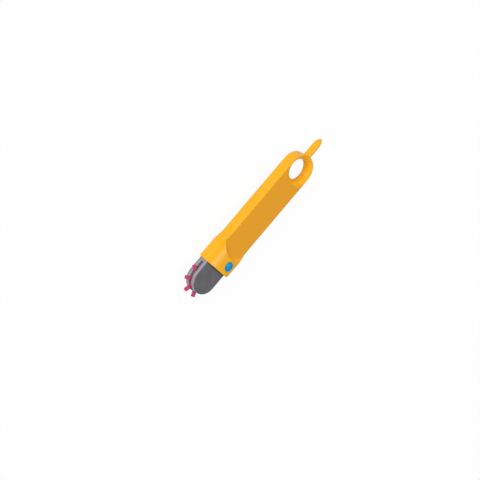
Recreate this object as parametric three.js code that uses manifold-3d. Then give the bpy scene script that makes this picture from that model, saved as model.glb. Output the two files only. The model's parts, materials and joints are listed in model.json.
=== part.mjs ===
// Folding wheel cutter: a yellow hand tool with a hanging ring and a piercing
// point at the rear, and a grey nose at the front that carries a toothed wheel.
// Units are millimetres. The tool lies flat: +X runs towards the ring, +Z is up
// out of the broad face, +Y is the closed edge and -Y the edge the nose swings
// out of. Every place is first worked out from the lip of the handle's mouth,
// on the handle's centre line and its middle plane.

import * as THREE from 'three';
import { mergeVertices } from 'three/addons/utils/BufferGeometryUtils.js';
import Module from 'manifold-3d';

const wasm = await Module();
wasm.setup();

// handle, outside
const barWidth = 29.6;
const barThickness = 12.4;
const barEdgeRadius = 1.6;
const barCrown = 0.75; // how far the uncut bar stands above the flat panels
const ringCentre = 118.4; // lip to the middle of the ring
const collarWidth = 34.4;
const collarBelow = 8.8; // middle plane to the flat underside
const collarAbove = 10; // middle plane to the top of the crowned upper face
const lowerShoulderWidth = 8; // the rounded shoulder, across the broad face
const lowerShoulderHeight = 4.6; // and down the narrow edge
const upperShoulderWidth = 14.5;
const upperShoulderHeight = 5.6;
const collarLength = 17;
const taperLength = 14; // collar to bar
const lipSlant = 7.5; // degrees off square, seen from above
const lipLean = 7.5; // and seen from the side
const panelStart = 17; // lip to the front of the flat panels
const panelArcRadius = 20.6;
const panelSlope = 2.8; // run of the sloping step in front of a panel

// ring hole
const holeRadius = 10; // at its waist; the edge is rounded over the full thickness
const holeSetBack = 0.5; // from the middle of the ring towards the lip

// handle, inside
const sideWall = 2;
const panelWall = 1.8;
const frontChamberEnd = 56;
const ribThickness = 2.4;
const rearChamberLength = 40;
const spineThickness = 1.6;
const bossRadius = 3.5;

// piercing point
const pointRadius = 3.5;
const pointStraight = 13; // from the ring's crown
const pointTaper = 7.4;
const pointTipRadius = 0.45;
const pointSlimness = 1.5; // 1 would be a plain ellipse, more is slimmer
const pointFlangeRadius = 4.3;
const pointFlangeThickness = 0.8;
const pointFlangeSet = 1.3; // ring crown to the flange's outer face

// pivot of the nose
const pivotX = 8.4;
const pivotY = -5.9;
const pivotRadius = 2.5;
const pivotHeadRadius = 3.8;
const pivotHeadThickness = 1;
const pivotThreadRadius = 1.3;
const pivotThreadSpare = 1; // thread beyond the screw's end
const pivotScrewLength = 7;
const pivotScrewHeadRadius = 4.2;
const pivotScrewHeadThickness = 1.3;
const hexSocketRadius = 1.5;
const hexSocketDepth = 0.8;
const capRadius = 4.65;
const capHeight = 2.4;
const capWall = 1.3; // upright part of the cap's side
const capFullness = 0.8; // 1 would be a plain ellipse, less is fuller
const capSeatDepth = 1.4; // spot face that the cap stands in, below the top of the collar
const bushWall = 1;
const washerRadius = 4.7;
const washerThickness = 1;

// nose
const noseWidth = 27.2;
const noseThickness = 12.6;
const noseOffset = 1.3; // towards +Y
const noseReach = 15.4; // lip to the centre of the round nose
const noseDepth = 3.5; // how far the full-height nose enters the mouth
const noseEdge = 0.6; // chamfer on the frame's outer edge
const coverThickness = 1.2;
const coverInset = 0.55;
const coverEdge = 0.35;
const tangThickness = 7.2;
const tangRadius = 12.8;
const rivetRadius = 1;
const rivetHeadRadius = 1.7;
const rivetHeadThickness = 0.8;
const rivetInFromEdge = 3; // rivet to the nose's long edge
const rivetBehindWeb = 1; // from the middle of the web behind the wheel pocket
const tangRivetRadius = 9.4; // from the pivot
const tangRivetAngle = 28.7; // degrees from +X
const pegRadius = 1;
const pegLength = 1.8;

// toothed wheel
const toothCount = 8;
const firstTooth = 74; // degrees from +X towards +Y
const wheelRadius = 17; // to the tips
const wheelAhead = 2.4; // wheel's centre in front of the centre of the round nose
const wheelAside = 2.2; // and towards +Y of it
const toothWidth = 3.2;
const toothHeight = 2.8;
const toothEdge = 0.3;
const discRadius = 8.4;
const discThickness = 1.8;
const axleRadius = 2;
const wheelBushWall = 1.1;
const thrustWasherRadius = 5;
const thrustWasherThickness = 0.45;
const slotHeight = 3.3;

// detent spring
const leafThickness = 0.9;
const leafWidth = 5.6;
const leafAnchorX = 48;
const leafAnchorY = 7.9;
const anchorPinRadius = 1.5;
const detentAngle = 78; // degrees, from the pivot
const detentBump = 1.6;
const detentStandOff = 0.9; // bump centre outside the tang's rim
const leafRestX = 30;
const leafRestLength = 4;

// stop pin
const stopPinRadius = 1.5;
const stopPinY = 11;
const stopGap = 0.25; // pin to the rear edge of the closed nose
const pinRoof = 1; // plastic left over the end of an upright pin

// shell fasteners
const screwRadius = 1.2;
const screwHeadRadius = 2.3;
const screwHeadThickness = 1.6;
const screwHeadDepth = 0.2; // below the panel
const screwReach = 4; // above the middle plane
const insertRadius = 2;
const insertLength = 4.2;
const frontScrewGap = 2.5; // front boss to the swinging tang
const frontScrewY = -3;

// clearances
const sweepGap = 0.35; // round what swings
const turnGap = 0.1; // shaft in its bush
const sideGap = 0.15; // beside a washer
const seatGap = 0.05; // round a pressed or trapped piece
const pocketGap = 0.4; // beyond the teeth
const rearEdgeGap = 0.3; // round the pivot, past the nose's rear edge
const past = 5; // how far a cutter runs past the surface it cuts

// fineness of the curved faces
const taperSteps = 9;
const edgeSteps = 4;
const cornerSteps = 10;
const flareSteps = 12;
const pointSteps = 7;
const weldSize = 1e-4; // corners closer than this are one

// what follows from the sizes above
const pivotToEdge = noseWidth / 2 - noseOffset + pivotY; // pivot to the nose's -Y edge
const mouthHalf = noseThickness / 2 + sweepGap;
const mouthEdge = coverInset + coverEdge + sweepGap; // its chamfer, which clears the covers
const chamberHalf = tangThickness / 2 + sweepGap;
const bossTurn = pivotX - noseDepth - rearEdgeGap; // radius of the boss the nose's rear edge passes
const sideOpeningEnd = pivotX + pivotToEdge + sweepGap;
const innerY = barWidth / 2 - sideWall;
const ringRadius = barWidth / 2;
const noseX = -noseReach;
const wheelX = noseX - wheelAhead;
const wheelY = noseOffset + wheelAside;
const frameHalf = noseThickness / 2 - coverThickness;
const slotHalf = slotHeight / 2;
const pocketRadius = wheelRadius + pocketGap;
const panelZ = barThickness / 2;
const capSeatZ = collarAbove - capSeatDepth;
const wellPast = 2 * collarAbove; // clear of the tool, above or below
const rimDistance = tangRadius + detentStandOff;
const ringEnd = ringCentre + ringRadius;

// Joins and cuts

function solid(geometry) {
  const bare = geometry.index ? geometry.toNonIndexed() : geometry.clone();
  bare.deleteAttribute('normal');
  bare.deleteAttribute('uv');
  const merged = mergeVertices(bare, weldSize);
  const mesh = new wasm.Mesh({
    numProp: 3,
    vertProperties: new Float32Array(merged.attributes.position.array),
    triVerts: new Uint32Array(merged.index.array),
  });
  return new wasm.Manifold(mesh);
}

function toGeometry(body) {
  const mesh = body.getMesh();
  const geometry = new THREE.BufferGeometry();
  geometry.setAttribute('position', new THREE.BufferAttribute(mesh.vertProperties, 3));
  geometry.setIndex(new THREE.BufferAttribute(mesh.triVerts, 1));
  geometry.computeVertexNormals();
  return geometry;
}

function joined(first, ...others) {
  return others.reduce((body, other) => body.add(other), first);
}

function cut(body, ...cutters) {
  return cutters.reduce((left, cutter) => left.subtract(cutter), body);
}

// Basic forms

function sidesOf(radius) {
  if (radius > 9) return 64;
  if (radius > 4) return 32;
  return radius > 2.4 ? 24 : 16;
}

function cylinder(radius, bottom, top, x = 0, y = 0, topRadius = radius) {
  const geometry = new THREE.CylinderGeometry(topRadius, radius, top - bottom, sidesOf(radius));
  geometry.rotateX(Math.PI / 2);
  geometry.translate(x, y, (top + bottom) / 2);
  return solid(geometry);
}

function box(x0, x1, y0, y1, z0, z1) {
  const geometry = new THREE.BoxGeometry(x1 - x0, y1 - y0, z1 - z0);
  geometry.translate((x0 + x1) / 2, (y0 + y1) / 2, (z0 + z1) / 2);
  return solid(geometry);
}

function plate(shape, bottom, top, bevel = 0) {
  const geometry = new THREE.ExtrudeGeometry(shape, {
    depth: top - bottom - 2 * bevel,
    curveSegments: 24,
    bevelEnabled: bevel > 0,
    bevelThickness: bevel,
    bevelSize: bevel,
    bevelOffset: -bevel,
    bevelSegments: 1,
  });
  geometry.translate(0, 0, bottom + bevel);
  return solid(geometry);
}

function turned(profile, segments) {
  return solid(new THREE.LatheGeometry(profile, segments).rotateX(Math.PI / 2));
}

// Handle, outside

function easeAlong(x) {
  return THREE.MathUtils.smoothstep(x, collarLength, collarLength + taperLength);
}

// A rounded section drawn out along X; each station is given its own width,
// thickness and corners, so the round collar runs into the square-edged bar.
function collarAndBar() {
  const section = new THREE.Shape();
  section.moveTo(2, -1);
  section.lineTo(2, 1);
  section.absarc(1, 1, 1, 0, Math.PI / 2);
  section.lineTo(-1, 2);
  section.absarc(-1, 1, 1, Math.PI / 2, Math.PI);
  section.lineTo(-2, -1);
  section.absarc(-1, -1, 1, Math.PI, 1.5 * Math.PI);
  section.lineTo(1, -2);
  section.absarc(1, -1, 1, 1.5 * Math.PI, 2 * Math.PI);
  const stations = [-past];
  for (let i = 0; i <= taperSteps; i += 1) {
    stations.push(collarLength + taperLength * i / taperSteps);
  }
  stations.push(ringCentre);
  const geometry = new THREE.ExtrudeGeometry(section, {
    depth: stations.length - 1,
    steps: stations.length - 1,
    curveSegments: cornerSteps,
    bevelEnabled: false,
  });
  const places = geometry.attributes.position;
  for (let i = 0; i < places.count; i += 1) {
    const along = stations[Math.round(places.getZ(i))];
    const ease = easeAlong(along);
    const halfWidth = THREE.MathUtils.lerp(collarWidth, barWidth, ease) / 2;
    const upper = places.getY(i) > 0;
    const collarHalf = upper ? collarAbove : collarBelow;
    const shoulderWidth = upper ? upperShoulderWidth : lowerShoulderWidth;
    const shoulderHeight = upper ? upperShoulderHeight : lowerShoulderHeight;
    const halfThickness = THREE.MathUtils.lerp(collarHalf, panelZ + barCrown, ease);
    const across = THREE.MathUtils.lerp(shoulderWidth, barEdgeRadius, ease);
    const down = THREE.MathUtils.lerp(shoulderHeight, barEdgeRadius, ease);
    const roundY = Math.abs(places.getX(i)) - 1;
    const roundZ = Math.abs(places.getY(i)) - 1;
    const y = Math.sign(places.getX(i)) * (halfWidth + across * (roundY - 1));
    const z = Math.sign(places.getY(i)) * (halfThickness + down * (roundZ - 1));
    places.setXYZ(i, along, y, z);
  }
  return solid(geometry);
}

function ringDisc() {
  const half = panelZ + barCrown;
  const profile = [new THREE.Vector2(0, -half)];
  for (let i = 0; i <= edgeSteps; i += 1) {
    const turn = (i / edgeSteps - 1) * Math.PI / 2;
    profile.push(new THREE.Vector2(
      ringRadius - barEdgeRadius + barEdgeRadius * Math.cos(turn),
      -half + barEdgeRadius + barEdgeRadius * Math.sin(turn),
    ));
  }
  for (let i = 0; i <= edgeSteps; i += 1) {
    const turn = i / edgeSteps * Math.PI / 2;
    profile.push(new THREE.Vector2(
      ringRadius - barEdgeRadius + barEdgeRadius * Math.cos(turn),
      half - barEdgeRadius + barEdgeRadius * Math.sin(turn),
    ));
  }
  profile.push(new THREE.Vector2(0, half));
  return turned(profile, 64).translate([ringCentre, 0, 0]);
}

// The hanging hole's edge is a full round, from one face to the other.
function ringHole() {
  const round = panelZ;
  const wide = holeRadius + round;
  const profile = [new THREE.Vector2(0, -round - past), new THREE.Vector2(wide, -round - past)];
  for (let i = 0; i <= flareSteps; i += 1) {
    const turn = (i / flareSteps - 0.5) * Math.PI;
    profile.push(new THREE.Vector2(wide - round * Math.cos(turn), round * Math.sin(turn)));
  }
  profile.push(new THREE.Vector2(wide, round + past), new THREE.Vector2(0, round + past));
  return turned(profile, 48).translate([ringCentre - holeSetBack, 0, 0]);
}

// Takes the bar down to a flat panel; the step in front of it is a sloping arc.
function panelCutter() {
  const arcX = panelStart + panelArcRadius;
  const rise = collarAbove - panelZ;
  const topRadius = panelArcRadius + panelSlope;
  const arc = cylinder(panelArcRadius, panelZ, panelZ + rise, arcX, 0, topRadius);
  const wide = collarWidth;
  const rear = box(arcX, ringEnd + past, -wide, wide, panelZ, collarAbove);
  return joined(arc, rear);
}

function lipCutter() {
  const reach = 2 * collarWidth;
  const block = box(-2 * reach, 0, -reach, reach, -reach, reach);
  return block.rotate([0, -lipLean, lipSlant]);
}

// Handle, inside

// Full-height room for the nose, open to the front and to the -Y edge, and
// rounded off about the pivot where the nose's rear edge passes.
function mouthCutter() {
  const front = -collarWidth;
  const shape = new THREE.Shape();
  shape.moveTo(front, -collarWidth);
  shape.lineTo(sideOpeningEnd, -collarWidth);
  shape.lineTo(sideOpeningEnd, pivotY - bossTurn);
  shape.lineTo(pivotX, pivotY - bossTurn);
  shape.absarc(pivotX, pivotY, bossTurn, -Math.PI / 2, -Math.PI, true);
  shape.lineTo(pivotX - bossTurn, noseWidth / 2 + noseOffset + sweepGap);
  shape.lineTo(front, noseWidth / 2 + noseOffset + sweepGap);
  return plate(shape, -mouthHalf, mouthHalf, mouthEdge);
}

function screwPlaces() {
  const rear = frontChamberEnd + ribThickness + rearChamberLength - 2 * bossRadius;
  const clearOfTang = pivotX + tangRadius + sweepGap + bossRadius + frontScrewGap;
  return [
    [clearOfTang, frontScrewY],
    [frontChamberEnd + ribThickness / 2, 0],
    [rear, barWidth / 4],
    [rear, -barWidth / 4],
  ];
}

function chamberCutter() {
  const front = noseDepth;
  const low = pivotY - pivotToEdge - sweepGap;
  const frontRoom = box(front, frontChamberEnd, low, innerY, -chamberHalf, chamberHalf);
  const leafRest = box(
    leafRestX - leafRestLength / 2, leafRestX + leafRestLength / 2,
    leafBackAt(leafRestX) + sweepGap, collarWidth, -wellPast, wellPast,
  );
  const rearStart = frontChamberEnd + ribThickness;
  const rearEnd = rearStart + rearChamberLength;
  const rearHalf = panelZ - panelWall;
  const rearRoom = box(rearStart, rearEnd, -innerY, innerY, -rearHalf, rearHalf);
  const spine = box(rearStart, rearEnd, -spineThickness / 2, spineThickness / 2, -panelZ, panelZ);
  const bosses = screwPlaces().map(([x, y]) => cylinder(bossRadius, -panelZ, panelZ, x, y));
  return cut(joined(frontRoom, rearRoom), leafRest, spine, ...bosses);
}

function pivotHoles() {
  const shaft = cylinder(pivotRadius + seatGap, -wellPast, wellPast, pivotX, pivotY);
  const headSeat = capSeatZ - pivotHeadThickness - seatGap;
  const head = cylinder(pivotHeadRadius + seatGap, headSeat, wellPast, pivotX, pivotY);
  const capSeat = cylinder(capRadius + seatGap, capSeatZ, wellPast, pivotX, pivotY);
  const screwHead = cylinder(
    pivotScrewHeadRadius + seatGap, -wellPast,
    -collarBelow + pivotScrewHeadThickness + seatGap, pivotX, pivotY,
  );
  return joined(shaft, head, capSeat, screwHead);
}

function stopPinX() {
  return noseDepth + stopGap + stopPinRadius;
}

function pinHole(radius, x, y) {
  return cylinder(radius + seatGap, -panelZ + pinRoof, panelZ - pinRoof, x, y);
}

function pointPocket() {
  const profile = pointProfile(seatGap);
  profile[profile.length - 2].y += past;
  profile[profile.length - 1].y += past;
  return turned(profile, sidesOf(pointRadius)).rotate([0, 90, 0]);
}

function handleBlank() {
  const outside = joined(collarAndBar(), ringDisc());
  const panels = panelCutter();
  return cut(
    outside, panels, panels.mirror([0, 0, 1]), ringHole(), lipCutter(),
    mouthCutter(), chamberCutter(), pivotHoles(), pointPocket(),
    pinHole(stopPinRadius, stopPinX(), stopPinY),
    pinHole(anchorPinRadius, leafAnchorX, leafAnchorY),
  );
}

function handleTop(blank) {
  const lowerHalf = box(-2 * past - collarWidth, ringEnd + past, -collarWidth, collarWidth, -wellPast, 0);
  const inserts = screwPlaces().map(
    ([x, y]) => cylinder(insertRadius + seatGap, -past, insertLength + 2 * seatGap, x, y),
  );
  return cut(blank, lowerHalf, ...inserts);
}

function handleBottom(blank) {
  const upperHalf = box(-2 * past - collarWidth, ringEnd + past, -collarWidth, collarWidth, 0, wellPast);
  const shafts = screwPlaces().map(
    ([x, y]) => cylinder(screwRadius + turnGap, -wellPast, past, x, y),
  );
  const headTop = -panelZ + screwHeadDepth + screwHeadThickness + seatGap;
  const heads = screwPlaces().map(
    ([x, y]) => cylinder(screwHeadRadius + turnGap, -wellPast, headTop, x, y),
  );
  return cut(blank, upperHalf, ...shafts, ...heads);
}

// Pieces in the handle

// Half outline of the piercing point, drawn out from its axis: x is the radius
// and y is the distance from the ring's centre.
function pointProfile(gap) {
  const flangeOut = ringRadius - pointFlangeSet;
  const flangeIn = flangeOut - pointFlangeThickness;
  const straightEnd = ringRadius + pointStraight;
  return [
    new THREE.Vector2(0, ringCentre + flangeIn - gap),
    new THREE.Vector2(pointFlangeRadius + gap, ringCentre + flangeIn - gap),
    new THREE.Vector2(pointFlangeRadius + gap, ringCentre + flangeOut + gap),
    new THREE.Vector2(pointRadius + gap, ringCentre + flangeOut + gap),
    new THREE.Vector2(pointRadius + gap, ringCentre + straightEnd),
    new THREE.Vector2(0, ringCentre + straightEnd),
  ];
}

function piercingPoint() {
  const profile = pointProfile(0).slice(0, 5);
  const start = ringCentre + ringRadius + pointStraight;
  for (let i = 1; i < pointSteps; i += 1) {
    const turn = i / pointSteps * Math.PI / 2;
    profile.push(new THREE.Vector2(
      pointTipRadius + (pointRadius - pointTipRadius) * Math.cos(turn) ** pointSlimness,
      start + pointTaper * Math.sin(turn),
    ));
  }
  profile.push(new THREE.Vector2(0, start + pointTaper));
  return turned(profile, sidesOf(pointRadius)).rotate([0, 90, 0]);
}

function pivotPin() {
  const head = capSeatZ;
  const low = -collarBelow + pivotScrewHeadThickness + seatGap;
  const shaft = cylinder(pivotRadius, low, head - pivotHeadThickness / 2, pivotX, pivotY);
  const rim = cylinder(pivotHeadRadius, head - pivotHeadThickness, head - seatGap, pivotX, pivotY);
  const depth = low + pivotScrewLength + pivotThreadSpare;
  const thread = cylinder(pivotThreadRadius + turnGap, low - past, depth, pivotX, pivotY);
  return cut(joined(shaft, rim), thread);
}

function hexSocket(x, y, face, facing) {
  const deep = face - facing * hexSocketDepth;
  const open = face + facing * past;
  const geometry = new THREE.CylinderGeometry(hexSocketRadius, hexSocketRadius, Math.abs(open - deep), 6);
  geometry.rotateX(Math.PI / 2);
  geometry.translate(x, y, (open + deep) / 2);
  return solid(geometry);
}

function pivotScrew() {
  const face = -collarBelow + 2 * seatGap;
  const under = -collarBelow + pivotScrewHeadThickness;
  const head = cylinder(pivotScrewHeadRadius, face, under, pivotX, pivotY);
  const middle = (face + under) / 2;
  const shank = cylinder(pivotThreadRadius, middle, under + pivotScrewLength, pivotX, pivotY);
  return cut(joined(head, shank), hexSocket(pivotX, pivotY, face, -1));
}

function pivotCap() {
  const seat = capSeatZ;
  const profile = [new THREE.Vector2(0, seat), new THREE.Vector2(capRadius, seat)];
  for (let i = 0; i < edgeSteps; i += 1) {
    const turn = i / edgeSteps * Math.PI / 2;
    profile.push(new THREE.Vector2(
      capRadius * Math.cos(turn) ** capFullness,
      seat + capWall + (capHeight - capWall) * Math.sin(turn),
    ));
  }
  profile.push(new THREE.Vector2(0, seat + capHeight));
  return turned(profile, sidesOf(capRadius)).translate([pivotX, pivotY, 0]);
}

function stopPin() {
  const half = panelZ - pinRoof - seatGap;
  return cylinder(stopPinRadius, -half, half, stopPinX(), stopPinY);
}

function anchorPin() {
  const half = panelZ - pinRoof - seatGap;
  return cylinder(anchorPinRadius, -half, half, leafAnchorX, leafAnchorY);
}

function shellScrew([x, y]) {
  const face = -panelZ + screwHeadDepth;
  const under = face + screwHeadThickness;
  const head = cylinder(screwHeadRadius, face, under, x, y);
  const shank = cylinder(screwRadius, face + screwHeadThickness / 2, screwReach, x, y);
  return cut(joined(head, shank), hexSocket(x, y, face, -1));
}

function threadInsert([x, y]) {
  const sleeve = cylinder(insertRadius, seatGap, insertLength, x, y);
  const bore = cylinder(screwRadius + turnGap, -past, insertLength + past, x, y);
  return cut(sleeve, bore);
}

// Leaf spring

function detentPlace() {
  const turn = THREE.MathUtils.degToRad(detentAngle);
  return [pivotX + rimDistance * Math.cos(turn), pivotY + rimDistance * Math.sin(turn)];
}

function leafLoopRadius() {
  return anchorPinRadius + sweepGap + leafThickness;
}

// Height of the leaf's outer face, which runs straight from loop to bump.
function leafBackAt(x) {
  const [tipX, tipY] = detentPlace();
  const tip = tipY + detentBump + leafThickness / 2;
  const root = leafAnchorY + leafLoopRadius();
  return THREE.MathUtils.mapLinear(x, tipX, leafAnchorX, tip, root);
}

function detentSpring() {
  const [tipX, tipY] = detentPlace();
  const half = leafWidth / 2;
  const shape = new THREE.Shape();
  shape.moveTo(tipX - detentBump, leafBackAt(tipX - detentBump));
  shape.lineTo(tipX - detentBump, leafBackAt(tipX - detentBump) - leafThickness);
  shape.lineTo(leafAnchorX, leafBackAt(leafAnchorX) - leafThickness);
  shape.lineTo(leafAnchorX, leafBackAt(leafAnchorX));
  const strip = plate(shape, -half, half);
  const bump = cylinder(detentBump, -half, half, tipX, tipY);
  const loop = cylinder(leafLoopRadius(), -half, half, leafAnchorX, leafAnchorY);
  const eye = cylinder(leafLoopRadius() - leafThickness, -past, past, leafAnchorX, leafAnchorY);
  return cut(joined(strip, bump, loop), eye);
}

// Nose

// Round front, straight edges, square at the rear; inset draws it smaller.
function noseShape(inset = 0) {
  const half = noseWidth / 2 - inset;
  const rear = noseDepth - inset;
  const shape = new THREE.Shape();
  shape.moveTo(noseX, noseOffset + half);
  shape.absarc(noseX, noseOffset, half, Math.PI / 2, 1.5 * Math.PI);
  shape.lineTo(rear, noseOffset - half);
  shape.lineTo(rear, noseOffset + half);
  return shape;
}

function tang(bottom, top) {
  const disc = cylinder(tangRadius, bottom, top, pivotX, pivotY);
  const kept = box(
    noseDepth - rearEdgeGap, pivotX + tangRadius + past,
    pivotY - pivotToEdge, pivotY + tangRadius + past, bottom - past, top + past,
  );
  const notches = [0, -90].map((turn) => {
    const angle = THREE.MathUtils.degToRad(detentAngle + turn);
    const x = pivotX + rimDistance * Math.cos(angle);
    const y = pivotY + rimDistance * Math.sin(angle);
    return cylinder(detentBump + sweepGap, bottom - past, top + past, x, y);
  });
  return cut(disc.intersect(kept), ...notches);
}

function rivetPlaces() {
  const web = (noseDepth + wheelX + pocketRadius) / 2 - rivetBehindWeb;
  const far = noseWidth / 2 - rivetInFromEdge;
  const turn = THREE.MathUtils.degToRad(tangRivetAngle);
  const x = pivotX + tangRivetRadius * Math.cos(turn);
  const y = pivotY + tangRivetRadius * Math.sin(turn);
  return [
    [web, noseOffset + far, frameHalf],
    [web, noseOffset - far, frameHalf],
    [x, y, tangThickness / 2],
  ];
}

function noseHoles() {
  const bushOut = pivotRadius + turnGap + bushWall + seatGap;
  const holes = [cylinder(bushOut, -noseThickness, noseThickness, pivotX, pivotY)];
  for (const [x, y, half] of rivetPlaces()) {
    holes.push(cylinder(rivetRadius + seatGap, -noseThickness, noseThickness, x, y));
    const seat = half - rivetHeadThickness - seatGap;
    const headHole = cylinder(rivetHeadRadius + seatGap, seat, noseThickness, x, y);
    holes.push(headHole, headHole.mirror([0, 0, 1]));
  }
  return holes;
}

function washerSeat() {
  const floor = tangThickness / 2 + sweepGap - sideGap - washerThickness - seatGap;
  return cylinder(washerRadius + turnGap, floor, noseThickness, pivotX, pivotY);
}

function pegPlaces() {
  const away = noseWidth / 4;
  return [
    [noseX - away / 2, noseOffset + away],
    [noseX - away / 2, noseOffset - away],
  ];
}

function noseFrame() {
  const body = plate(noseShape(), -frameHalf, frameHalf, noseEdge);
  const whole = joined(body, tang(-tangThickness / 2, tangThickness / 2));
  const wide = 2 * collarWidth;
  const below = box(-wide, wide, -wide, wide, -wellPast, slotHalf);
  const axleHole = cylinder(axleRadius + seatGap, 0, noseThickness, wheelX, wheelY);
  const pegs = pegPlaces().map(([x, y]) => cylinder(pegRadius + turnGap, 0, noseThickness, x, y));
  return cut(whole, below, axleHole, washerSeat(), ...noseHoles(), ...pegs);
}

function noseCore() {
  const body = joined(plate(noseShape(), -slotHalf, slotHalf), tang(-slotHalf, slotHalf));
  const pocket = cylinder(pocketRadius, -past, past, wheelX, wheelY);
  return cut(body, pocket, ...noseHoles());
}

function noseCover() {
  const top = frameHalf + coverThickness;
  const bevelled = plate(noseShape(coverInset), frameHalf - coverThickness, top, coverEdge);
  const wide = 2 * collarWidth;
  const lid = cut(bevelled, box(-wide, wide, -wide, wide, -wellPast, frameHalf));
  const pegs = pegPlaces().map(
    ([x, y]) => cylinder(pegRadius, frameHalf - pegLength, frameHalf + coverThickness / 2, x, y),
  );
  return joined(lid, ...pegs);
}

function noseRivet([x, y, half]) {
  const seat = half - rivetHeadThickness;
  const outer = half - seatGap;
  const shank = cylinder(rivetRadius, -outer, outer, x, y);
  const head = cylinder(rivetHeadRadius, seat, outer, x, y);
  return joined(shank, head, head.mirror([0, 0, 1]));
}

function pivotBush() {
  const outer = pivotRadius + turnGap + bushWall;
  const half = tangThickness / 2 + sweepGap - sideGap - washerThickness - 3 * seatGap;
  const sleeve = cylinder(outer, -half, half, pivotX, pivotY);
  return cut(sleeve, cylinder(pivotRadius + turnGap, -past, past, pivotX, pivotY));
}

function pivotWasher() {
  const top = tangThickness / 2 + sweepGap - sideGap;
  const ring = cylinder(washerRadius, top - washerThickness, top, pivotX, pivotY);
  return cut(ring, cylinder(pivotRadius + turnGap, -past, past, pivotX, pivotY));
}

function wheelAxle() {
  const half = frameHalf - seatGap;
  return cylinder(axleRadius, -half, half, wheelX, wheelY);
}

function thrustWasher() {
  const top = slotHalf - sideGap;
  const ring = cylinder(thrustWasherRadius, top - thrustWasherThickness, top, wheelX, wheelY);
  return cut(ring, cylinder(axleRadius + turnGap, -past, past, wheelX, wheelY));
}

// Wheel

function tooth(index) {
  const root = discRadius - toothWidth / 2;
  const half = toothWidth / 2;
  const shape = new THREE.Shape();
  shape.moveTo(root, -half);
  shape.lineTo(wheelRadius, -half);
  shape.lineTo(wheelRadius, half);
  shape.lineTo(root, half);
  const block = plate(shape, -toothHeight / 2, toothHeight / 2, toothEdge);
  const turn = firstTooth + index * 360 / toothCount;
  return block.rotate([0, 0, turn]).translate([wheelX, wheelY, 0]);
}

function cutterWheel() {
  const half = discThickness / 2;
  const disc = cylinder(discRadius, -half, half, wheelX, wheelY);
  const teeth = Array.from({ length: toothCount }, (unused, index) => tooth(index));
  const bore = axleRadius + turnGap + wheelBushWall + seatGap;
  return cut(joined(disc, ...teeth), cylinder(bore, -past, past, wheelX, wheelY));
}

function wheelBush() {
  const half = discThickness / 2 + seatGap;
  const sleeve = cylinder(axleRadius + turnGap + wheelBushWall, -half, half, wheelX, wheelY);
  return cut(sleeve, cylinder(axleRadius + turnGap, -past, past, wheelX, wheelY));
}

// Materials

function finish(color, roughness, metalness = 0) {
  return new THREE.MeshStandardMaterial({ color, roughness, metalness });
}

const yellow = finish(0xffbe28, 0.38);
const blue = finish(0x0091c8, 0.32);
const magenta = finish(0xc83c6e, 0.45);
const lightGrey = finish(0x96969d, 0.42, 0.3);
const darkGrey = finish(0x605f65, 0.55);
const steel = finish(0xb8bac0, 0.28, 0.9);
const springSteel = finish(0x8c9099, 0.3, 0.9);
const brass = finish(0xc9a24a, 0.3, 0.9);
const nylon = finish(0xe9e6da, 0.5);

// Assembly

function piece(name, body, material) {
  const mesh = new THREE.Mesh(toGeometry(body), material);
  mesh.name = name;
  return mesh;
}

function flipped(body) {
  return body.mirror([0, 0, 1]);
}

function handleGroup() {
  const group = new THREE.Group();
  const blank = handleBlank();
  group.add(piece('handle_shell_top', handleTop(blank), yellow));
  group.add(piece('handle_shell_bottom', handleBottom(blank), yellow));
  group.add(piece('piercing_point', piercingPoint(), yellow));
  group.add(piece('pivot_pin', pivotPin(), steel));
  group.add(piece('pivot_screw', pivotScrew(), steel));
  group.add(piece('pivot_cap', pivotCap(), blue));
  group.add(piece('stop_pin', stopPin(), steel));
  group.add(piece('detent_spring', detentSpring(), springSteel));
  group.add(piece('spring_anchor_pin', anchorPin(), steel));
  screwPlaces().forEach((place, index) => {
    group.add(piece(`shell_screw_${index + 1}`, shellScrew(place), steel));
    group.add(piece(`thread_insert_${index + 1}`, threadInsert(place), brass));
  });
  return group;
}

function noseGroup() {
  const group = new THREE.Group();
  const frame = noseFrame();
  const cover = noseCover();
  const washer = pivotWasher();
  const thrust = thrustWasher();
  group.add(piece('nose_frame_top', frame, lightGrey));
  group.add(piece('nose_frame_bottom', flipped(frame), lightGrey));
  group.add(piece('nose_core', noseCore(), lightGrey));
  group.add(piece('nose_cover_top', cover, darkGrey));
  group.add(piece('nose_cover_bottom', flipped(cover), darkGrey));
  group.add(piece('pivot_bush', pivotBush(), brass));
  group.add(piece('pivot_washer_top', washer, nylon));
  group.add(piece('pivot_washer_bottom', flipped(washer), nylon));
  group.add(piece('wheel_axle', wheelAxle(), steel));
  group.add(piece('thrust_washer_top', thrust, nylon));
  group.add(piece('thrust_washer_bottom', flipped(thrust), nylon));
  rivetPlaces().forEach((place, index) => {
    group.add(piece(`nose_rivet_${index + 1}`, noseRivet(place), steel));
  });
  return group;
}

function wheelGroup() {
  const group = new THREE.Group();
  group.add(piece('cutter_wheel', cutterWheel(), magenta));
  group.add(piece('wheel_bush', wheelBush(), brass));
  return group;
}

const tool = new THREE.Group();
tool.add(handleGroup());
tool.add(noseGroup());
tool.add(wheelGroup());

// The tool stands on the middle of its own footprint.
const bounds = new THREE.Box3().setFromObject(tool);
const middle = bounds.getCenter(new THREE.Vector3());
tool.position.set(-middle.x, -middle.y, -bounds.min.z);
const model = new THREE.Group();
model.add(tool);

export default model;
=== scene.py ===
import json
import math

import bmesh
import bpy
from mathutils import Matrix, Vector


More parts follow.
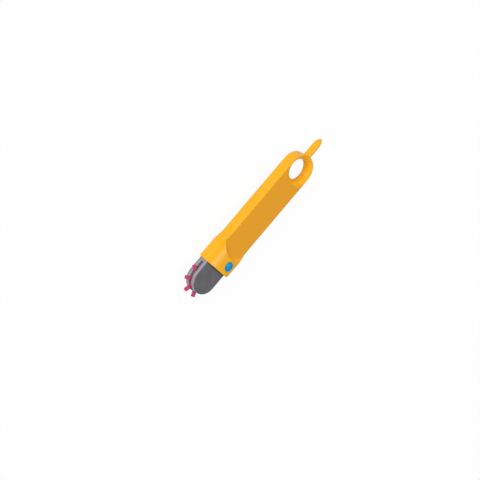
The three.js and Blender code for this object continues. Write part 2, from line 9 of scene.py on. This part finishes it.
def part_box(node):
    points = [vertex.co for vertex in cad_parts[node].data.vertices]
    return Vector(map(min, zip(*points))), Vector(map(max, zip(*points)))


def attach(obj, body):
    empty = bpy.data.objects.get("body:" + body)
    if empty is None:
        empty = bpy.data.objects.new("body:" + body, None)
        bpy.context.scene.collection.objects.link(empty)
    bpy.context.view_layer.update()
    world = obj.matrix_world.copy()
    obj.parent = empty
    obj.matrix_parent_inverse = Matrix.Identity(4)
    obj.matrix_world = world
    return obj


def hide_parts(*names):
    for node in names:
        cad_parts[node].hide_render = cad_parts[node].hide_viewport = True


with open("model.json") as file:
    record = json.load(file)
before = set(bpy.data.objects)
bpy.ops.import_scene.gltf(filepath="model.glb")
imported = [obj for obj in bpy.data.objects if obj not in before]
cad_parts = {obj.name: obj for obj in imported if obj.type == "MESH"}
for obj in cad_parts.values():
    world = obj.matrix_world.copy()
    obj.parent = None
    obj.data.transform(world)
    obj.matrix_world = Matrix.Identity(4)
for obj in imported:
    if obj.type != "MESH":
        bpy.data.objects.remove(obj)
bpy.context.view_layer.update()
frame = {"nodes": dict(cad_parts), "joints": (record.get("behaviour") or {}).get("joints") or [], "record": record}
cadNodes = frame["nodes"]
scene = bpy.context.scene
mm = 0.001
print("frame loaded:", len(cadNodes), "nodes")


# places on the tool, read from the frame

def jointPlace(name):
    joint = [j for j in frame["joints"] if j["name"] == name][0]
    return Vector(joint["pos_m"])


pivotPlace = jointPlace("nose_swing")
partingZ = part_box("handle_shell_top")[0].z
panelMount = [m for m in frame["record"]["mounts"] if m["name"] == "panel_face"][0]
panelZ = panelMount["pos_m"][2]


# small helpers that build node trees

offsetWay = Vector((1, 0.7, 1.3))  # noise is moved this way, so that no two patterns agree
cloudRange = (0.35, 0.65)  # parts of the noise that a look is spread over
patchRange = (0.42, 0.62)
rubRange = (0.3, 0.7)
wornRoughness = 0.12  # added on worn edges

# how fine each noise is, and how far it is moved away from the others
patchNoise = {"detail": 4.0, "offset": 3.1}
rubNoise = {"detail": 5.0, "offset": 1.7}
grainNoise = {"detail": 2.0, "offset": 0.4}
flowNoise = {"detail": 1.0, "offset": 2.3}
pitNoise = {"detail": 2.0, "offset": 5.2}
metalNoise = {"detail": 4.0}

plasticBending = 1.49  # index of refraction


def startMaterial(name):
    material = bpy.data.materials.new(name)
    material.use_nodes = True
    tree = material.node_tree
    shader = tree.nodes["Principled BSDF"]
    return material, tree, shader


def addNode(tree, kind, **settings):
    node = tree.nodes.new(kind)
    for key, value in settings.items():
        if key in node.inputs:
            node.inputs[key].default_value = value
        else:
            setattr(node, key, value)
    return node


def noiseAt(tree, scale, detail=3.0, stretch=(1, 1, 1), offset=0.0):
    place = addNode(tree, "ShaderNodeTexCoord")
    mapping = addNode(tree, "ShaderNodeMapping")
    mapping.inputs["Scale"].default_value = stretch
    mapping.inputs["Location"].default_value = offsetWay * offset
    noise = addNode(tree, "ShaderNodeTexNoise", Scale=scale, Detail=detail)
    tree.links.new(place.outputs["Object"], mapping.inputs["Vector"])
    tree.links.new(mapping.outputs["Vector"], noise.inputs["Vector"])
    return noise.outputs["Fac"]


def remap(tree, value, low, high, toLow=0.0, toHigh=1.0):
    node = addNode(tree, "ShaderNodeMapRange")
    node.inputs["From Min"].default_value = low
    node.inputs["From Max"].default_value = high
    node.inputs["To Min"].default_value = toLow
    node.inputs["To Max"].default_value = toHigh
    tree.links.new(value, node.inputs["Value"])
    return node.outputs["Result"]


def mathOf(tree, operation, first, second):
    node = addNode(tree, "ShaderNodeMath", operation=operation)
    for socket, value in zip(node.inputs, (first, second)):
        if isinstance(value, (int, float)):
            socket.default_value = value
        else:
            tree.links.new(value, socket)
    return node.outputs["Value"]


def mixColour(tree, factor, first, second):
    node = addNode(tree, "ShaderNodeMix", data_type="RGBA")
    if isinstance(factor, (int, float)):
        node.inputs["Factor"].default_value = factor
    else:
        tree.links.new(factor, node.inputs["Factor"])
    for socket, value in ((node.inputs["A"], first), (node.inputs["B"], second)):
        if isinstance(value, tuple):
            socket.default_value = value
        else:
            tree.links.new(value, socket)
    return node.outputs["Result"]


def bumpOf(tree, height, distance, strength, below=None):
    node = addNode(tree, "ShaderNodeBump")
    node.inputs["Distance"].default_value = distance
    node.inputs["Strength"].default_value = strength
    tree.links.new(height, node.inputs["Height"])
    if below is not None:
        tree.links.new(below, node.inputs["Normal"])
    return node.outputs["Normal"]


def srgb(red, green, blue):
    def linear(value):
        value /= 255
        return value / 12.92 if value <= 0.04045 else ((value + 0.055) / 1.055) ** 2.4
    return (linear(red), linear(green), linear(blue), 1.0)


# edges that stick out, from 0 on flat faces to 1 on worn corners
def wornEdges(tree, start, full, patchScale):
    geometry = addNode(tree, "ShaderNodeNewGeometry")
    edge = remap(tree, geometry.outputs["Pointiness"], start, full)
    patches = remap(tree, noiseAt(tree, patchScale, **patchNoise), *patchRange)
    return mathOf(tree, "MULTIPLY", edge, patches)


# 1 on the flat panel at either face of the bar, 0 elsewhere; the mask paints shade on the panel and gives it its
# matt, pitted finish
def panelShare(tree, border, blend):
    place = addNode(tree, "ShaderNodeTexCoord")
    parts = addNode(tree, "ShaderNodeSeparateXYZ")
    tree.links.new(place.outputs["Object"], parts.inputs[0])
    height = mathOf(tree, "SUBTRACT", parts.outputs["Z"], partingZ)
    height = mathOf(tree, "ABSOLUTE", height, 0)
    above = remap(tree, height, panelZ - partingZ + border / 2, panelZ - partingZ + border, 1.0, 0.0)
    below = remap(tree, height, panelZ - partingZ - blend, panelZ - partingZ - border / 2)
    return mathOf(tree, "MULTIPLY", above, below)


def mouldedPlastic(values):
    material, tree, shader = startMaterial(values["name"])
    cloud = remap(tree, noiseAt(tree, values["cloudScale"]), *cloudRange)
    base = mixColour(tree, cloud, values["colour"], values["secondColour"])
    wear = wornEdges(tree, values["wearStart"], values["wearFull"], values["wearPatch"])
    worn = mathOf(tree, "MULTIPLY", wear, values["wearAmount"])
    base = mixColour(tree, worn, base, values["wearColour"])
    panel = None
    if "panelBorder" in values:
        panel = panelShare(tree, values["panelBorder"], values["panelBlend"])
        # painted shade: the flat panel is coloured darker than the rounded collar, for the light its flat face
        # catches less of
        base = mixColour(tree, panel, base, values["panelShadeColour"])
    tree.links.new(base, shader.inputs["Base Color"])
    rubbed = noiseAt(tree, values["rubScale"], stretch=values["rubStretch"], **rubNoise)
    rough = remap(tree, rubbed, *rubRange, values["roughLow"], values["roughHigh"])
    rough = mathOf(tree, "ADD", rough, mathOf(tree, "MULTIPLY", wear, wornRoughness))
    if panel is not None:
        matt = mathOf(tree, "MULTIPLY", panel, values["panelRougher"])
        rough = mathOf(tree, "ADD", rough, matt)
    tree.links.new(rough, shader.inputs["Roughness"])
    grain = noiseAt(tree, values["grainScale"], **grainNoise)
    flow = noiseAt(tree, values["flowScale"], **flowNoise)
    fine = bumpOf(tree, grain, values["grainDepth"], values["grainStrength"])
    full = bumpOf(tree, flow, values["flowDepth"], values["flowStrength"], below=fine)
    if panel is not None:
        pits = noiseAt(tree, values["pitScale"], **pitNoise)
        pits = mathOf(tree, "MULTIPLY", pits, panel)
        full = bumpOf(tree, pits, values["pitDepth"], values["pitStrength"], below=full)
    tree.links.new(full, shader.inputs["Normal"])
    shader.inputs["IOR"].default_value = plasticBending
    shader.inputs["Specular IOR Level"].default_value = values["shine"]
    return material


def turnedMetal(values):
    material, tree, shader = startMaterial(values["name"])
    cloud = remap(tree, noiseAt(tree, values["cloudScale"], **metalNoise), *cloudRange)
    base = mixColour(tree, cloud, values["colour"], values["secondColour"])
    wear = wornEdges(tree, values["wearStart"], values["wearFull"], values["wearPatch"])
    worn = mathOf(tree, "MULTIPLY", wear, values["wearAmount"])
    base = mixColour(tree, worn, base, values["wearColour"])
    tree.links.new(base, shader.inputs["Base Color"])
    lines = noiseAt(tree, values["lineScale"], stretch=values["lineStretch"], **metalNoise)
    rough = remap(tree, lines, *rubRange, values["roughLow"], values["roughHigh"])
    tree.links.new(rough, shader.inputs["Roughness"])
    normal = bumpOf(tree, lines, values["lineDepth"], values["lineStrength"])
    tree.links.new(normal, shader.inputs["Normal"])
    shader.inputs["Metallic"].default_value = values["metal"]
    return material


yellowPlastic = mouldedPlastic({
    "name": "yellowPlastic",
    "colour": srgb(252, 181, 22),
    "secondColour": srgb(248, 176, 20),
    "wearColour": srgb(255, 204, 80),
    "wearAmount": 0.5,
    "wearStart": 0.535,
    "wearFull": 0.62,
    "wearPatch": 260,
    "cloudScale": 55,
    "rubScale": 90,
    "rubStretch": (0.4, 1, 1),
    "roughLow": 0.27,
    "roughHigh": 0.35,
    "grainScale": 2600,
    "grainDepth": 0.02 * mm,
    "grainStrength": 0.25,
    "flowScale": 70,
    "flowDepth": 0.15 * mm,
    "flowStrength": 0.1,
    "shine": 0.24,
    # painted shade: a darker yellow laid on the flat panel, standing in for the shade of its face
    "panelShadeColour": srgb(234, 160, 22),
    "panelBorder": 0.16 * mm,
    "panelBlend": 0.6 * mm,
    "panelRougher": 0.2,
    "pitScale": 1500,
    "pitDepth": 0.03 * mm,
    "pitStrength": 0.35,
})

bluePlastic = mouldedPlastic({
    "name": "bluePlastic",
    "colour": srgb(0, 148, 206),
    "secondColour": srgb(0, 140, 198),
    "wearColour": srgb(90, 190, 225),
    "wearAmount": 0.4,
    "wearStart": 0.53,
    "wearFull": 0.62,
    "wearPatch": 500,
    "cloudScale": 160,
    "rubScale": 300,
    "rubStretch": (1, 1, 1),
    "roughLow": 0.26,
    "roughHigh": 0.36,
    "grainScale": 3400,
    "grainDepth": 0.012 * mm,
    "grainStrength": 0.2,
    "flowScale": 200,
    "flowDepth": 0.05 * mm,
    "flowStrength": 0.1,
    "shine": 0.2,
})

magentaPlastic = mouldedPlastic({
    "name": "magentaPlastic",
    "colour": srgb(203, 60, 110),
    "secondColour": srgb(194, 54, 103),
    "wearColour": srgb(228, 110, 150),
    "wearAmount": 0.5,
    "wearStart": 0.52,
    "wearFull": 0.6,
    "wearPatch": 500,
    "cloudScale": 160,
    "rubScale": 400,
    "rubStretch": (1, 1, 0.4),
    "roughLow": 0.38,
    "roughHigh": 0.5,
    "grainScale": 3000,
    "grainDepth": 0.015 * mm,
    "grainStrength": 0.25,
    "flowScale": 240,
    "flowDepth": 0.05 * mm,
    "flowStrength": 0.1,
    "shine": 0.3,
})

lightGreyPaint = mouldedPlastic({
    "name": "lightGreyPaint",
    "colour": srgb(154, 154, 162),
    "secondColour": srgb(148, 148, 156),
    "wearColour": srgb(196, 197, 202),
    "wearAmount": 0.55,
    "wearStart": 0.52,
    "wearFull": 0.6,
    "wearPatch": 420,
    "cloudScale": 140,
    "rubScale": 260,
    "rubStretch": (0.5, 1, 1),
    "roughLow": 0.34,
    "roughHigh": 0.46,
    "grainScale": 2800,
    "grainDepth": 0.015 * mm,
    "grainStrength": 0.25,
    "flowScale": 260,
    "flowDepth": 0.04 * mm,
    "flowStrength": 0.15,
    "shine": 0.5,
})

darkGreyPlastic = mouldedPlastic({
    "name": "darkGreyPlastic",
    "colour": srgb(96, 95, 101),
    "secondColour": srgb(90, 89, 95),
    "wearColour": srgb(134, 133, 140),
    "wearAmount": 0.45,
    "wearStart": 0.515,
    "wearFull": 0.58,
    "wearPatch": 420,
    "cloudScale": 120,
    "rubScale": 220,
    "rubStretch": (0.5, 1, 1),
    "roughLow": 0.5,
    "roughHigh": 0.62,
    "grainScale": 2200,
    "grainDepth": 0.03 * mm,
    "grainStrength": 0.4,
    "flowScale": 200,
    "flowDepth": 0.05 * mm,
    "flowStrength": 0.1,
    "shine": 0.4,
})

nylon = mouldedPlastic({
    "name": "nylon",
    "colour": srgb(233, 230, 218),
    "secondColour": srgb(226, 222, 208),
    "wearColour": srgb(245, 244, 238),
    "wearAmount": 0.3,
    "wearStart": 0.53,
    "wearFull": 0.62,
    "wearPatch": 600,
    "cloudScale": 260,
    "rubScale": 500,
    "rubStretch": (1, 1, 1),
    "roughLow": 0.45,
    "roughHigh": 0.58,
    "grainScale": 3200,
    "grainDepth": 0.012 * mm,
    "grainStrength": 0.3,
    "flowScale": 300,
    "flowDepth": 0.03 * mm,
    "flowStrength": 0.1,
    "shine": 0.5,
})

steel = turnedMetal({
    "name": "turnedSteel",
    "colour": srgb(186, 188, 194),
    "secondColour": srgb(172, 174, 181),
    "wearColour": srgb(224, 225, 229),
    "wearAmount": 0.6,
    "wearStart": 0.52,
    "wearFull": 0.6,
    "wearPatch": 300,
    "cloudScale": 300,
    "lineScale": 1800,
    "lineStretch": (1, 1, 0.08),
    "lineDepth": 0.01 * mm,
    "lineStrength": 0.4,
    "roughLow": 0.22,
    "roughHigh": 0.38,
    "metal": 0.95,
})

springSteel = turnedMetal({
    "name": "springSteel",
    "colour": srgb(142, 146, 156),
    "secondColour": srgb(122, 124, 140),
    "wearColour": srgb(190, 192, 200),
    "wearAmount": 0.6,
    "wearStart": 0.52,
    "wearFull": 0.6,
    "wearPatch": 300,
    "cloudScale": 220,
    "lineScale": 1600,
    "lineStretch": (0.06, 1, 1),
    "lineDepth": 0.01 * mm,
    "lineStrength": 0.4,
    "roughLow": 0.25,
    "roughHigh": 0.42,
    "metal": 0.95,
})

brass = turnedMetal({
    "name": "turnedBrass",
    "colour": srgb(203, 164, 84),
    "secondColour": srgb(186, 146, 70),
    "wearColour": srgb(232, 202, 132),
    "wearAmount": 0.6,
    "wearStart": 0.52,
    "wearFull": 0.6,
    "wearPatch": 300,
    "cloudScale": 300,
    "lineScale": 1800,
    "lineStretch": (1, 1, 0.08),
    "lineDepth": 0.01 * mm,
    "lineStrength": 0.4,
    "roughLow": 0.24,
    "roughHigh": 0.4,
    "metal": 0.95,
})
print("materials ready")


# small helpers that build meshes

onPlane = 1e-7  # points this near to a cutting plane lie on it


def addObject(name, mesh):
    piece = bpy.data.objects.new(name, mesh)
    scene.collection.objects.link(piece)
    return piece


def settle(piece):
    # bakes the modifiers into the piece's own mesh
    graph = bpy.context.evaluated_depsgraph_get()
    mesh = bpy.data.meshes.new_from_object(piece.evaluated_get(graph))
    piece.modifiers.clear()
    old = piece.data
    piece.data = mesh
    bpy.data.meshes.remove(old)
    return piece


def copyOf(node, name):
    return addObject(name, cadNodes[node].data.copy())


def softenForm(piece, values):
    remesh = piece.modifiers.new("even", "REMESH")
    remesh.mode = "VOXEL"
    remesh.voxel_size = values["cell"]
    smooth = piece.modifiers.new("soften", "SMOOTH")
    smooth.iterations = values["softening"]
    settle(piece)


def thinForm(piece, values):
    thin = piece.modifiers.new("thin", "DECIMATE")
    thin.ratio = values["keep"]
    settle(piece)


# weights 0 to 1 on the points that the rule picks out
def softGroup(piece, name, weightAt):
    group = piece.vertex_groups.new(name=name)
    for point in piece.data.vertices:
        weight = weightAt(point.co)
        if weight > 0:
            group.add([point.index], weight, "REPLACE")


def smoothWhere(piece, name, weightAt, rounds):
    softGroup(piece, name, weightAt)
    smooth = piece.modifiers.new(name, "SMOOTH")
    smooth.iterations = rounds
    smooth.vertex_group = name
    settle(piece)


# a fine groove round the piece at one height
def cutSeam(piece, height, halfWidth, depth):
    work = bmesh.new()
    work.from_mesh(piece.data)
    for offset in (-halfWidth, halfWidth, 0):
        bmesh.ops.bisect_plane(
            work, geom=work.verts[:] + work.edges[:] + work.faces[:], dist=onPlane,
            plane_co=(0, 0, height + offset), plane_no=(0, 0, 1))
    work.normal_update()
    bottom = [point for point in work.verts if abs(point.co.z - height) < 2 * onPlane]
    for point in bottom:
        inward = Vector((point.normal.x, point.normal.y, 0)).normalized() * -depth
        point.co += inward
    work.to_mesh(piece.data)
    work.free()


# faces that meet at less than this angle look like one smooth face
def shadeByAngle(piece, degrees):
    piece.data.shade_smooth()
    work = bmesh.new()
    work.from_mesh(piece.data)
    limit = math.radians(degrees)
    for edge in work.edges:
        edge.smooth = len(edge.link_faces) == 2 and edge.calc_face_angle(0) < limit
    work.to_mesh(piece.data)
    work.free()


def giveMaterial(piece, material):
    piece.data.materials.clear()
    piece.data.materials.append(material)


# takes the cutter's form out of a closed piece and leaves it closed
def carve(piece, cutter):
    trim = piece.modifiers.new("carve", "BOOLEAN")
    trim.operation = "DIFFERENCE"
    trim.solver = "MANIFOLD"
    trim.object = cutter
    settle(piece)
    bpy.data.objects.remove(cutter)


# the closed rooms inside a piece, as solids of their own
def roomsOf(piece, name):
    rooms = addObject(name, piece.data.copy())
    work = bmesh.new()
    work.from_mesh(rooms.data)
    outside = []
    for start in work.faces:
        if start.tag:
            continue
        start.tag = True
        island = [start]
        for face in island:  # grows while it runs
            for other in [near for edge in face.edges for near in edge.link_faces]:
                if not other.tag:
                    other.tag = True
                    island.append(other)
        volume = sum(face.calc_center_median().dot(face.normal) * face.calc_area() for face in island)
        if volume > 0:
            outside += island
    bmesh.ops.delete(work, geom=outside, context="FACES")
    bmesh.ops.reverse_faces(work, faces=work.faces[:])
    work.to_mesh(rooms.data)
    work.free()
    return rooms


# the part of a closed form above or below one height, closed again at the cut
def halfOf(piece, name, height, keepUpper):
    reach = 2 * max(piece.dimensions)
    work = bmesh.new()
    bmesh.ops.create_cube(work, size=reach)
    middle = height + (-reach if keepUpper else reach) / 2
    bmesh.ops.translate(work, verts=work.verts[:], vec=(0, 0, middle))
    mesh = bpy.data.meshes.new("cutter")
    work.to_mesh(mesh)
    work.free()
    cutter = addObject("cutter", mesh)
    half = addObject(name, piece.data.copy())
    carve(half, cutter)
    return half


# outline turned about an axis; points are (radius, distance along the axis)
def turnedForm(name, outline, segments, place, axisTurn=None):
    work = bmesh.new()
    rings = []
    for radius, along in outline:
        if radius == 0:
            rings.append([work.verts.new((0, 0, along))])
            continue
        ring = []
        for step in range(segments):
            angle = 2 * math.pi * step / segments
            ring.append(work.verts.new((radius * math.cos(angle), radius * math.sin(angle), along)))
        rings.append(ring)
    for lower, upper in zip(rings, rings[1:]):
        for step in range(segments):
            after = (step + 1) % segments
            corners = [lower[step % len(lower)], lower[after % len(lower)],
                       upper[after % len(upper)], upper[step % len(upper)]]
            unique = []
            for corner in corners:
                if corner not in unique:
                    unique.append(corner)
            if len(unique) > 2:
                work.faces.new(unique)
    bmesh.ops.recalc_face_normals(work, faces=work.faces[:])
    turn = axisTurn or Matrix.Identity(4)
    bmesh.ops.transform(work, matrix=Matrix.Translation(place) @ turn, verts=work.verts[:])
    mesh = bpy.data.meshes.new(name)
    work.to_mesh(mesh)
    work.free()
    return addObject(name, mesh)


# the handle's two shells, rounded over as one form and split at the parting line

handleValues = {
    "cell": 0.35 * mm,
    "softening": 5,
    "keep": 0.3,
    "seamHalfWidth": 0.13 * mm,
    "seamDepth": 0.14 * mm,
    "shoulderRounds": 24,
    "shoulderFrom": 2.0 * mm,  # behind the lip
    "shoulderTo": 24.0 * mm,
    "shoulderInside": 6.0 * mm,  # from the side of the collar towards its middle
    "shoulderAbove": 2.5 * mm,  # over the parting line
    "shoulderRamp": 1.5 * mm,
    "smoothBelow": 40,
}


def softenShoulders(piece, values):
    low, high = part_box("handle_shell_top")
    middle = (low + high) / 2
    inside = high.y - middle.y - values["shoulderInside"]

    def weightAt(place):
        start = place.x - low.x - values["shoulderFrom"]
        end = low.x + values["shoulderTo"] - place.x
        out = abs(place.y - middle.y) - inside
        up = abs(place.z - partingZ) - values["shoulderAbove"]
        return max(0.0, min(1.0, min(start, end, out, up) / values["shoulderRamp"]))

    smoothWhere(piece, "shoulders", weightAt, values["shoulderRounds"])


def buildHandle(values):
    whole = copyOf("handle_shell_top", "handleWhole")
    lower = copyOf("handle_shell_bottom", "handleLower")
    union = whole.modifiers.new("join", "BOOLEAN")
    union.operation = "UNION"
    union.solver = "EXACT"
    union.object = lower
    settle(whole)
    bpy.data.objects.remove(lower)
    rooms = roomsOf(whole, "handleRooms")  # the even mesh would fill them
    softenForm(whole, values)
    softenShoulders(whole, values)
    thinForm(whole, values)
    cutSeam(whole, partingZ, values["seamHalfWidth"], values["seamDepth"])
    carve(whole, rooms)
    for name, node, upper in (("handleShellTop", "handle_shell_top", True),
                              ("handleShellBottom", "handle_shell_bottom", False)):
        half = halfOf(whole, name, partingZ, upper)
        shadeByAngle(half, values["smoothBelow"])
        giveMaterial(half, yellowPlastic)
        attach(half, "handle")
        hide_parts(node)
        print(name, len(half.data.polygons), "faces")
    bpy.data.objects.remove(whole)


buildHandle(handleValues)


# the piercing point, turned about the tool's length

pointValues = {
    "radius": 3.5 * mm,
    "tipRadius": 0.45 * mm,
    "taper": 7.4 * mm,  # length of the pointed end
    "slimness": 1.5,
    "segments": 56,
    "steps": 20,
    "flangeRadius": 4.3 * mm,
    "flangeThickness": 0.8 * mm,
    "smoothBelow": 30,
}


def buildPoint(values):
    low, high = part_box("piercing_point")
    middle = (low + high) / 2
    flangeEnd = low.x + values["flangeThickness"]
    straightEnd = high.x - values["taper"]
    outline = [(0, low.x), (values["flangeRadius"], low.x), (values["flangeRadius"], flangeEnd),
               (values["radius"], flangeEnd), (values["radius"], straightEnd)]
    for step in range(1, values["steps"]):
        turn = step / values["steps"] * math.pi / 2
        lean = math.cos(turn) ** values["slimness"]
        outline.append((values["tipRadius"] + (values["radius"] - values["tipRadius"]) * lean,
                        straightEnd + (high.x - straightEnd) * math.sin(turn)))
    outline.append((0, high.x))
    turn = Matrix.Rotation(math.pi / 2, 4, "Y")
    piece = turnedForm("piercingPoint", outline, values["segments"], (0, middle.y, middle.z), turn)
    shadeByAngle(piece, values["smoothBelow"])
    giveMaterial(piece, yellowPlastic)
    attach(piece, "handle")
    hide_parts("piercing_point")


buildPoint(pointValues)


# the domed cap over the pivot

capValues = {
    "wallShare": 0.4,  # upright part of the side
    "rimRound": 0.3 * mm,
    "fullness": 0.8,
    "segments": 72,
    "steps": 18,
    "smoothBelow": 50,
}


def buildCap(values):
    low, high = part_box("pivot_cap")
    radius = (high.x - low.x) / 2
    height = high.z - low.z
    wall = height * values["wallShare"]
    outline = [(0, 0), (radius - values["rimRound"], 0), (radius, values["rimRound"]), (radius, wall)]
    for step in range(1, values["steps"]):
        turn = step / values["steps"] * math.pi / 2
        outline.append((radius * math.cos(turn) ** values["fullness"],
                        wall + (height - wall) * math.sin(turn)))
    outline.append((0, height))
    piece = turnedForm("pivotCap", outline, values["segments"], (pivotPlace.x, pivotPlace.y, low.z))
    shadeByAngle(piece, values["smoothBelow"])
    giveMaterial(piece, bluePlastic)
    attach(piece, "handle")
    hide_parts("pivot_cap")


buildCap(capValues)
print("point and cap built")


# the folding nose and its wheel

nosePieces = {  # node, body, slot and finish of each
    "noseFrameTop": ("nose_frame_top", "nose", "light_grey_metal", lightGreyPaint),
    "noseFrameBottom": ("nose_frame_bottom", "nose", "light_grey_metal", lightGreyPaint),
    "noseCore": ("nose_core", "nose", "light_grey_metal", lightGreyPaint),
    "noseCoverTop": ("nose_cover_top", "nose", "dark_grey_plastic", darkGreyPlastic),
    "noseCoverBottom": ("nose_cover_bottom", "nose", "dark_grey_plastic", darkGreyPlastic),
    "cutterWheel": ("cutter_wheel", "wheel", "magenta_plastic", magentaPlastic),
}
noseValues = {
    "cell": 0.2 * mm,
    "softening": 3,
    "keep": 0.22,
    "smoothBelow": 40,
}


def buildNose(pieces, values):
    for name, (node, body, slot, material) in pieces.items():
        piece = copyOf(node, name)
        softenForm(piece, values)
        thinForm(piece, values)
        shadeByAngle(piece, values["smoothBelow"])
        giveMaterial(piece, material)
        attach(piece, body)
        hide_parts(node)
        print(name, len(piece.data.polygons), "faces")


buildNose(nosePieces, noseValues)


# metal and nylon pieces keep their shapes and get a finish

carriedFinishes = {
    "pivot_pin": steel,
    "pivot_screw": steel,
    "stop_pin": steel,
    "spring_anchor_pin": steel,
    "shell_screw_1": steel,
    "shell_screw_2": steel,
    "shell_screw_3": steel,
    "shell_screw_4": steel,
    "wheel_axle": steel,
    "nose_rivet_1": steel,
    "nose_rivet_2": steel,
    "nose_rivet_3": steel,
    "detent_spring": springSteel,
    "thread_insert_1": brass,
    "thread_insert_2": brass,
    "thread_insert_3": brass,
    "thread_insert_4": brass,
    "pivot_bush": brass,
    "wheel_bush": brass,
    "pivot_washer_top": nylon,
    "pivot_washer_bottom": nylon,
    "thrust_washer_top": nylon,
    "thrust_washer_bottom": nylon,
}
for node, material in carriedFinishes.items():
    giveMaterial(cadNodes[node], material)
print("carried pieces finished")


# floor, lights and camera

stageValues = {
    "floorSize": 6.0,
    "floorColour": (0.9, 0.9, 0.9, 1),
    "floorRoughness": 0.8,
    "floorShine": 0.95,  # share of plain white that a camera sees; the rest keeps the shadow
    "worldStrength": 0.33,
    "keyPower": 22.5,
    "keySize": 1.2,
    "keyFrom": Vector((-0.3, 1.68, 0.75)),
    "topPower": 8.8,
    "topSize": 0.5,
    "topFrom": Vector((0.29, -0.42, 1.45)),
}


def buildFloor(values):
    work = bmesh.new()
    bmesh.ops.create_grid(work, x_segments=2, y_segments=2, size=values["floorSize"] / 2)
    mesh = bpy.data.meshes.new("floor")
    work.to_mesh(mesh)
    work.free()
    floor = addObject("floor", mesh)
    material, tree, shader = startMaterial("paleFloor")
    shader.inputs["Base Color"].default_value = values["floorColour"]
    shader.inputs["Roughness"].default_value = values["floorRoughness"]
    plain = addNode(tree, "ShaderNodeEmission", Color=(1, 1, 1, 1), Strength=1.0)
    rays = addNode(tree, "ShaderNodeLightPath")
    seen = mathOf(tree, "MAXIMUM", rays.outputs["Is Camera Ray"], rays.outputs["Is Glossy Ray"])
    seen = mathOf(tree, "MAXIMUM", seen, rays.outputs["Is Transmission Ray"])
    share = mathOf(tree, "MULTIPLY", seen, values["floorShine"])
    mix = addNode(tree, "ShaderNodeMixShader")
    tree.links.new(share, mix.inputs[0])
    tree.links.new(shader.outputs[0], mix.inputs[1])
    tree.links.new(plain.outputs[0], mix.inputs[2])
    tree.links.new(mix.outputs[0], tree.nodes["Material Output"].inputs["Surface"])
    giveMaterial(floor, material)


def buildWorld(values):
    world = bpy.data.worlds.new("studio")
    scene.world = world
    world.use_nodes = True
    tree = world.node_tree
    background = tree.nodes["Background"]
    background.inputs["Color"].default_value = (1, 1, 1, 1)
    rays = addNode(tree, "ShaderNodeLightPath")
    strength = remap(tree, rays.outputs["Is Camera Ray"], 0, 1, values["worldStrength"], 1.0)
    tree.links.new(strength, background.inputs["Strength"])


def buildLamp(name, power, size, place):
    data = bpy.data.lights.new(name, "AREA")
    data.energy = power
    data.size = size
    lamp = bpy.data.objects.new(name, data)
    scene.collection.objects.link(lamp)
    lamp.location = place
    lamp.rotation_euler = place.to_track_quat("Z", "Y").to_euler()  # looks at the origin


buildFloor(stageValues)
buildWorld(stageValues)
buildLamp("keyLamp", stageValues["keyPower"], stageValues["keySize"], stageValues["keyFrom"])
buildLamp("topLamp", stageValues["topPower"], stageValues["topSize"], stageValues["topFrom"])

cameraValues = {
    "tip": 11,  # degrees, of the nose's end towards the viewer
    "roll": 45,  # degrees, about the tool's length
    "lean": 49.7,  # degrees, of the tool in the view
    "fromPivot": Vector((-8.4, 5.9, 0)) * mm,  # to the lip, on the centre line
    "aside": 24.1 * mm,  # middle of the view, from the lip
    "above": 23.85 * mm,
    "away": 6.0,
    "lens": 500,
    "sensor": 36,
    "farEnd": 50,
}


def buildCamera(values):
    tip = math.radians(values["tip"])
    roll = math.radians(values["roll"])
    lean = math.radians(values["lean"])
    back = Vector((-math.sin(tip), math.sin(roll) * math.cos(tip), math.cos(roll) * math.cos(tip)))
    along = Vector((math.cos(tip), math.sin(roll) * math.sin(tip), math.cos(roll) * math.sin(tip)))
    across = Vector((0, math.cos(roll), -math.sin(roll)))
    right = along * math.cos(lean) - across * math.sin(lean)
    up = along * math.sin(lean) + across * math.cos(lean)
    lip = pivotPlace + values["fromPivot"]
    lip.z = partingZ
    target = lip + right * values["aside"] + up * values["above"]
    data = bpy.data.cameras.new("camera")
    data.lens = values["lens"]
    data.sensor_width = values["sensor"]
    data.clip_end = values["farEnd"]
    camera = bpy.data.objects.new("camera", data)
    scene.collection.objects.link(camera)
    turn = Matrix((right, up, back)).transposed().to_4x4()
    camera.matrix_world = Matrix.Translation(target + back * values["away"]) @ turn
    scene.camera = camera


buildCamera(cameraValues)
scene.view_settings.view_transform = "Standard"
print("stage ready")
